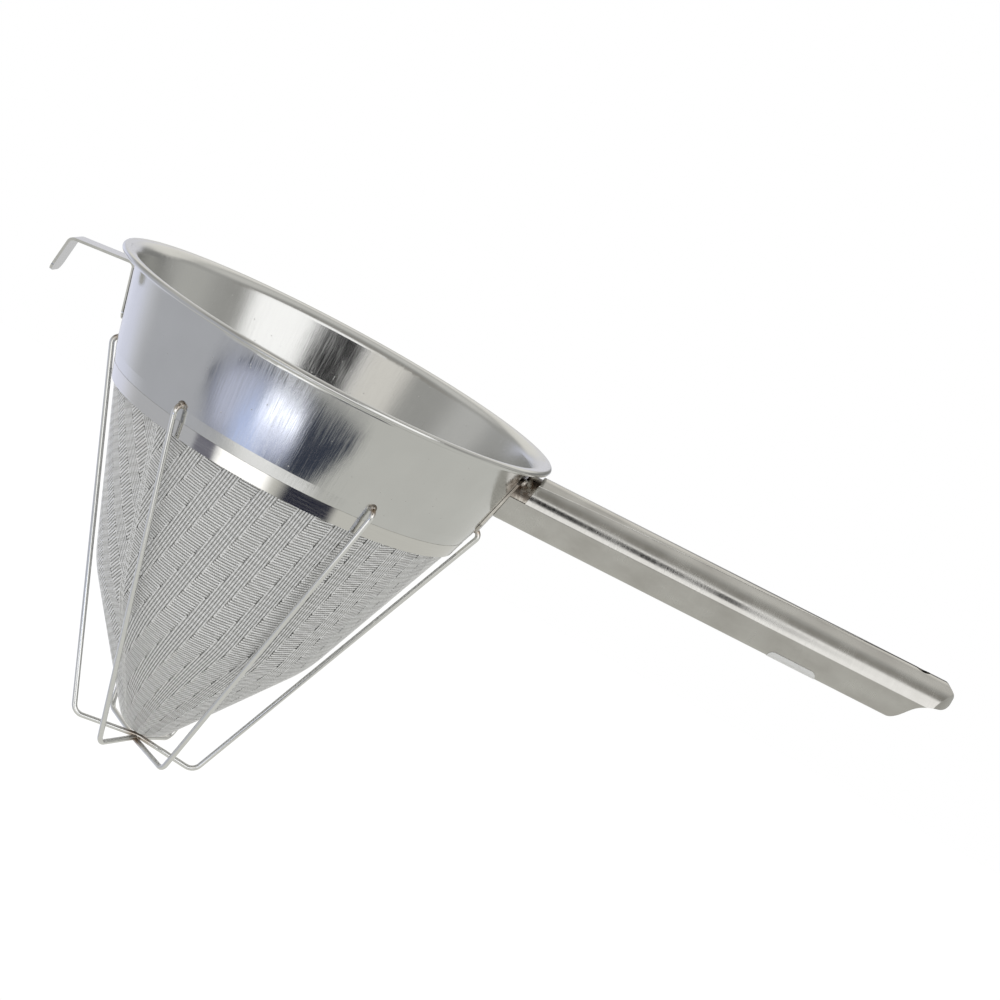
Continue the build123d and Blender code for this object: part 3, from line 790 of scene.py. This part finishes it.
def makeClothTree():
    tree = bpy.data.node_groups.new("rolledCloth", "GeometryNodeTree")
    for name, kind in (
        ("Geometry", "Geometry"), ("Profile", "Object"), ("Material", "Material"),
        ("Columns", "Int"), ("Rows", "Int"), ("Column Step", "Float"), ("Row Step", "Float"),
        ("First Cord", "Vector"), ("Cord Reach", "Vector"), ("Cord Radius", "Float"), ("Cord Height", "Float"),
        ("Crimp", "Float"), ("Segment", "Float"), ("Centre Turn", "Float"),
        ("Low Limit", "Float"), ("High Limit", "Float"), ("Nearest", "Float"), ("Farthest", "Float"),
    ):
        tree.interface.new_socket(name=name, in_out="INPUT", socket_type="NodeSocket" + kind)
    tree.interface.new_socket(name="Geometry", in_out="OUTPUT", socket_type="NodeSocketGeometry")
    given = addNode(tree, "NodeGroupInput").outputs

    # One cord in the flat, crimped up and down at each crossing wire
    line = addNode(tree, "GeometryNodeCurvePrimitiveLine", {"mode": "POINTS"}, {"End": given["Cord Reach"]})
    line = addNode(
        tree, "GeometryNodeResampleCurve", {"mode": "LENGTH"},
        {"Curve": line.outputs[0], "Length": given["Segment"]},
    )
    index = addNode(tree, "GeometryNodeInputIndex")
    parity = addNode(tree, "ShaderNodeMath", {"operation": "MODULO", 1: 2.0}, {0: index.outputs[0]})
    sway = addNode(tree, "ShaderNodeMath", {"operation": "SUBTRACT", 1: 0.5}, {0: parity.outputs[0]})
    lift = addNode(tree, "ShaderNodeMath", {"operation": "MULTIPLY"}, {0: sway.outputs[0], 1: given["Crimp"]})
    rise = addNode(tree, "ShaderNodeCombineXYZ", {}, {"Z": lift.outputs[0]})
    line = addNode(
        tree, "GeometryNodeSetPosition", {}, {"Geometry": line.outputs[0], "Offset": rise.outputs[0]},
    )
    line = addNode(
        tree, "GeometryNodeStoreNamedAttribute",
        {"data_type": "FLOAT", "domain": "POINT", "Name": "wireRise"},
        {"Geometry": line.outputs[0], "Value": parity.outputs[0]},
    )
    ring = addNode(
        tree, "GeometryNodeCurvePrimitiveCircle", {"mode": "RADIUS", "Resolution": 4},
        {"Radius": given["Cord Radius"]},
    )
    cord = addNode(
        tree, "GeometryNodeCurveToMesh", {"Fill Caps": True},
        {"Curve": line.outputs[0], "Profile Curve": ring.outputs[0]},
    )

    # Cords laid out in rows and columns on the flat cloth
    spans = []
    for count, step in (("Columns", "Column Step"), ("Rows", "Row Step")):
        gaps = addNode(tree, "ShaderNodeMath", {"operation": "SUBTRACT", 1: 1.0}, {0: given[count]})
        span = addNode(tree, "ShaderNodeMath", {"operation": "MULTIPLY"}, {0: gaps.outputs[0], 1: given[step]})
        spans.append(span.outputs[0])
    grid = addNode(
        tree, "GeometryNodeMeshGrid", {},
        {"Size X": spans[0], "Size Y": spans[1], "Vertices X": given["Columns"], "Vertices Y": given["Rows"]},
    )
    corner = addNode(tree, "ShaderNodeCombineXYZ", {}, {"X": spans[0], "Y": spans[1]})
    shift = addNode(
        tree, "ShaderNodeVectorMath", {"operation": "MULTIPLY_ADD", 1: (0.5, 0.5, 0.0)},
        {0: corner.outputs[0], 2: given["First Cord"]},
    )
    grid = addNode(
        tree, "GeometryNodeSetPosition", {}, {"Geometry": grid.outputs[0], "Offset": shift.outputs[0]},
    )
    laid = addNode(
        tree, "GeometryNodeInstanceOnPoints", {}, {"Points": grid.outputs[0], "Instance": cord.outputs[0]},
    )
    laid = addNode(tree, "GeometryNodeRealizeInstances", {}, {"Geometry": laid.outputs[0]})

    # Flat place as a distance from the apex and a turn, which is wider once the cloth is rolled
    place = addNode(tree, "GeometryNodeInputPosition")
    flat = addNode(tree, "ShaderNodeSeparateXYZ", {}, {"Vector": place.outputs[0]})
    level = addNode(tree, "ShaderNodeCombineXYZ", {}, {"X": flat.outputs["X"], "Y": flat.outputs["Y"]})
    reach = addNode(
        tree, "ShaderNodeVectorMath", {"operation": "LENGTH"}, {0: level.outputs[0]},
    ).outputs["Value"]
    flatTurn = addNode(
        tree, "ShaderNodeMath", {"operation": "ARCTAN2"}, {0: flat.outputs["X"], 1: flat.outputs["Y"]},
    )
    rolled = addNode(
        tree, "ShaderNodeMath", {"operation": "DIVIDE", 1: math.sin(math.radians(cloth["upperAngle"]))},
        {0: flatTurn.outputs[0]},
    ).outputs[0]
    outside = []
    for value, limit, compare in (
        (rolled, "Low Limit", "LESS_THAN"), (rolled, "High Limit", "GREATER_THAN"),
        (reach, "Nearest", "LESS_THAN"), (reach, "Farthest", "GREATER_THAN"),
    ):
        outside.append(
            addNode(tree, "ShaderNodeMath", {"operation": compare}, {0: value, 1: given[limit]}).outputs[0],
        )
    cut = outside[0]
    for other in outside[1:]:
        cut = addNode(tree, "ShaderNodeMath", {"operation": "MAXIMUM"}, {0: cut, 1: other}).outputs[0]
    trimmed = addNode(
        tree, "GeometryNodeDeleteGeometry", {"domain": "POINT"},
        {"Geometry": laid.outputs[0], "Selection": cut},
    )
    flatMap = addNode(tree, "ShaderNodeCombineXYZ", {}, {"X": flat.outputs["X"], "Y": flat.outputs["Y"]})
    mapped = addNode(
        tree, "GeometryNodeStoreNamedAttribute",
        {"data_type": "FLOAT2", "domain": "CORNER", "Name": "flatCloth"},
        {"Geometry": trimmed.outputs[0], "Value": flatMap.outputs[0]},
    )

    # How far each place stands out: 1 on the crowns of the wires, 0 in the gaps between cords; the cloth's tone
    # uses it as painted highlight on the crowns and painted shade in the gaps
    wireRise = addNode(tree, "GeometryNodeInputNamedAttribute", {"data_type": "FLOAT", "Name": "wireRise"})
    ridge = addNode(
        tree, "ShaderNodeMath", {"operation": "DIVIDE", "use_clamp": True},
        {0: flat.outputs["Z"], 1: given["Cord Radius"]},
    )
    share = addNode(
        tree, "ShaderNodeMath", {"operation": "MULTIPLY_ADD", 1: 0.8, 2: 0.2},
        {0: wireRise.outputs["Attribute"]},
    )
    crown = addNode(
        tree, "ShaderNodeMath", {"operation": "MULTIPLY"}, {0: ridge.outputs[0], 1: share.outputs[0]},
    )
    mapped = addNode(
        tree, "GeometryNodeStoreNamedAttribute", {"data_type": "FLOAT", "domain": "POINT", "Name": "crown"},
        {"Geometry": mapped.outputs[0], "Value": crown.outputs[0]},
    )

    # Rolled onto the profile: down it by the distance, out from it by the height, round by the turn
    shape = addNode(tree, "GeometryNodeObjectInfo", {}, {"Object": given["Profile"]})
    down = addNode(tree, "ShaderNodeMath", {"operation": "SUBTRACT", 0: clothReach}, {1: reach})
    sample = addNode(
        tree, "GeometryNodeSampleCurve", {"mode": "LENGTH", "use_all_curves": True},
        {"Curves": shape.outputs["Geometry"], "Length": down.outputs[0]},
    )
    tangent = addNode(tree, "ShaderNodeSeparateXYZ", {}, {"Vector": sample.outputs["Tangent"]})
    outX = addNode(tree, "ShaderNodeMath", {"operation": "MULTIPLY", 1: -1.0}, {0: tangent.outputs["Z"]})
    outward = addNode(tree, "ShaderNodeCombineXYZ", {}, {"X": outX.outputs[0], "Z": tangent.outputs["X"]})
    height = addNode(
        tree, "ShaderNodeMath", {"operation": "MULTIPLY"}, {0: flat.outputs["Z"], 1: given["Cord Height"]},
    )
    stood = addNode(
        tree, "ShaderNodeVectorMath", {"operation": "SCALE"},
        {0: outward.outputs[0], "Scale": height.outputs[0]},
    )
    raised = addNode(
        tree, "ShaderNodeVectorMath", {"operation": "ADD"},
        {0: sample.outputs["Position"], 1: stood.outputs[0]},
    )
    turn = addNode(tree, "ShaderNodeMath", {"operation": "ADD"}, {0: rolled, 1: given["Centre Turn"]})
    wrapped = addNode(
        tree, "ShaderNodeVectorRotate", {"rotation_type": "Z_AXIS"},
        {"Vector": raised.outputs[0], "Angle": turn.outputs[0]},
    )
    cone = addNode(
        tree, "GeometryNodeSetPosition", {},
        {"Geometry": mapped.outputs[0], "Position": wrapped.outputs[0]},
    )
    smooth = addNode(tree, "GeometryNodeSetShadeSmooth", {}, {"Geometry": cone.outputs[0]})
    plain = addNode(tree, "GeometryNodeRealizeInstances", {}, {"Geometry": smooth.outputs[0]})
    painted = addNode(
        tree, "GeometryNodeSetMaterial", {}, {"Geometry": plain.outputs[0], "Material": given["Material"]},
    )
    addNode(tree, "NodeGroupOutput", {}, {"Geometry": painted.outputs[0]})
    return tree


clothTree = makeClothTree()


def clothPiece(name, inputs):
    piece = bpy.data.objects.new(name, bpy.data.meshes.new(name))
    bpy.context.scene.collection.objects.link(piece)
    modifier = piece.modifiers.new("cloth", "NODES")
    modifier.node_group = clothTree
    for item in clothTree.interface.items_tree:
        if item.in_out == "INPUT" and item.name in inputs:
            modifier[item.identifier] = inputs[item.name]
    evaluated = piece.evaluated_get(bpy.context.evaluated_depsgraph_get())
    mesh = bpy.data.meshes.new_from_object(evaluated)
    piece.modifiers.clear()
    piece.data = mesh
    mesh.name = name
    mesh.calc_loop_triangles()
    print(name, len(mesh.loop_triangles), "triangles")
    return piece


def weaveCloth():
    band, step = cloth["band"], cloth["step"]
    tipReach = clothReach - profileLength
    common = {
        "Profile": profileObject, "Material": meshSteel, "Crimp": cloth["crimp"], "Segment": step,
        "Nearest": tipReach + cloth["tipMargin"], "Farthest": clothReach - cloth["topMargin"],
    }
    low, high = (math.radians(limit) for limit in cloth["halfLimits"])
    firstColumn = cloth["bandStart"] - (cloth["bandCount"] // 2) * 2 * band
    pieces = []
    for centre, side in cloth["halves"]:
        half = dict(common, **{
            "Centre Turn": math.radians(centre), "Low Limit": low, "High Limit": high,
            "Columns": cloth["bandCount"], "Column Step": 2 * band,
        })
        tilt = math.radians(cloth["alongTilt"])
        fall = band / math.tan(tilt)
        rowStep = cloth["alongPitch"] / math.sin(tilt)
        along = dict(half, **{
            "Rows": math.ceil((clothReach + fall) / rowStep), "Row Step": rowStep,
            "First Cord": (firstColumn, 0.0, 0.0), "Cord Reach": (band, -fall, 0.0),
            "Cord Radius": cloth["alongPitch"] / 2 * cloth["fullness"],
            "Cord Height": (cloth["thickness"] - cloth["crimp"]) / cloth["alongPitch"],
        })
        pieces.append(clothPiece("clothAlong" + side, along))
        tilt = math.radians(cloth["acrossTilt"])
        rowStep = cloth["acrossPitch"] / math.cos(tilt)
        across = dict(half, **{
            "Rows": math.ceil(clothReach / rowStep), "Row Step": rowStep,
            "First Cord": (firstColumn + band, 0.0, 0.0), "Cord Reach": (band, band * math.tan(tilt), 0.0),
            "Cord Radius": cloth["acrossPitch"] / 2 * cloth["fullness"],
            "Cord Height": (cloth["thickness"] - cloth["crimp"]) / cloth["acrossPitch"],
        })
        pieces.append(clothPiece("clothAcross" + side, across))
        seam = dict(common, **{
            "Centre Turn": math.radians(centre + cloth["halfLimits"][0]), "Low Limit": -1.0, "High Limit": 1.0,
            "Columns": cloth["seamCords"], "Column Step": cloth["seamPitch"], "Rows": 1, "Row Step": 0.0,
            "First Cord": (-(cloth["seamCords"] - 1) / 2 * cloth["seamPitch"], tipReach, 0.0),
            "Cord Reach": (0.0, profileLength, 0.0), "Cord Radius": cloth["seamPitch"] / 2,
            "Cord Height": cloth["thickness"] / cloth["seamPitch"],
        })
        pieces.append(clothPiece("clothSeam" + side, seam))
    for piece in pieces:
        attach(piece, "root")
        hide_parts("support_mesh")


weaveCloth()
bpy.data.objects.remove(profileObject)

# The clamp ring is pressed up against the collar's ledge, so that no gap shows between them
ring = {"topEdge": -0.04602, "angle": 17.0, "edgeBand": 0.0005, "mergeWithin": 0.000002, "sharpAngle": 25.0}


def pressRing():
    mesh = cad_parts["clamp_ring"].data.copy()
    mesh.name = "pressedRing"
    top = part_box("clamp_ring")[1][2]
    work = bmesh.new()
    work.from_mesh(mesh)
    bmesh.ops.remove_doubles(work, verts=work.verts, dist=ring["mergeWithin"])
    for vertex in work.verts:
        if vertex.co.z > top - ring["edgeBand"]:
            lift = ring["topEdge"] - vertex.co.z
            wider = 1 + lift * math.tan(math.radians(ring["angle"])) / vertex.co.xy.length
            vertex.co = (vertex.co.x * wider, vertex.co.y * wider, ring["topEdge"])
    work.to_mesh(mesh)
    work.free()
    mesh.shade_smooth()
    mesh.set_sharp_from_angle(angle=math.radians(ring["sharpAngle"]))
    piece = bpy.data.objects.new("pressedRing", mesh)
    bpy.context.scene.collection.objects.link(piece)
    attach(piece, "root")
    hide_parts("clamp_ring")
    print("clamp ring pressed up,", len(mesh.polygons), "faces")


pressRing()
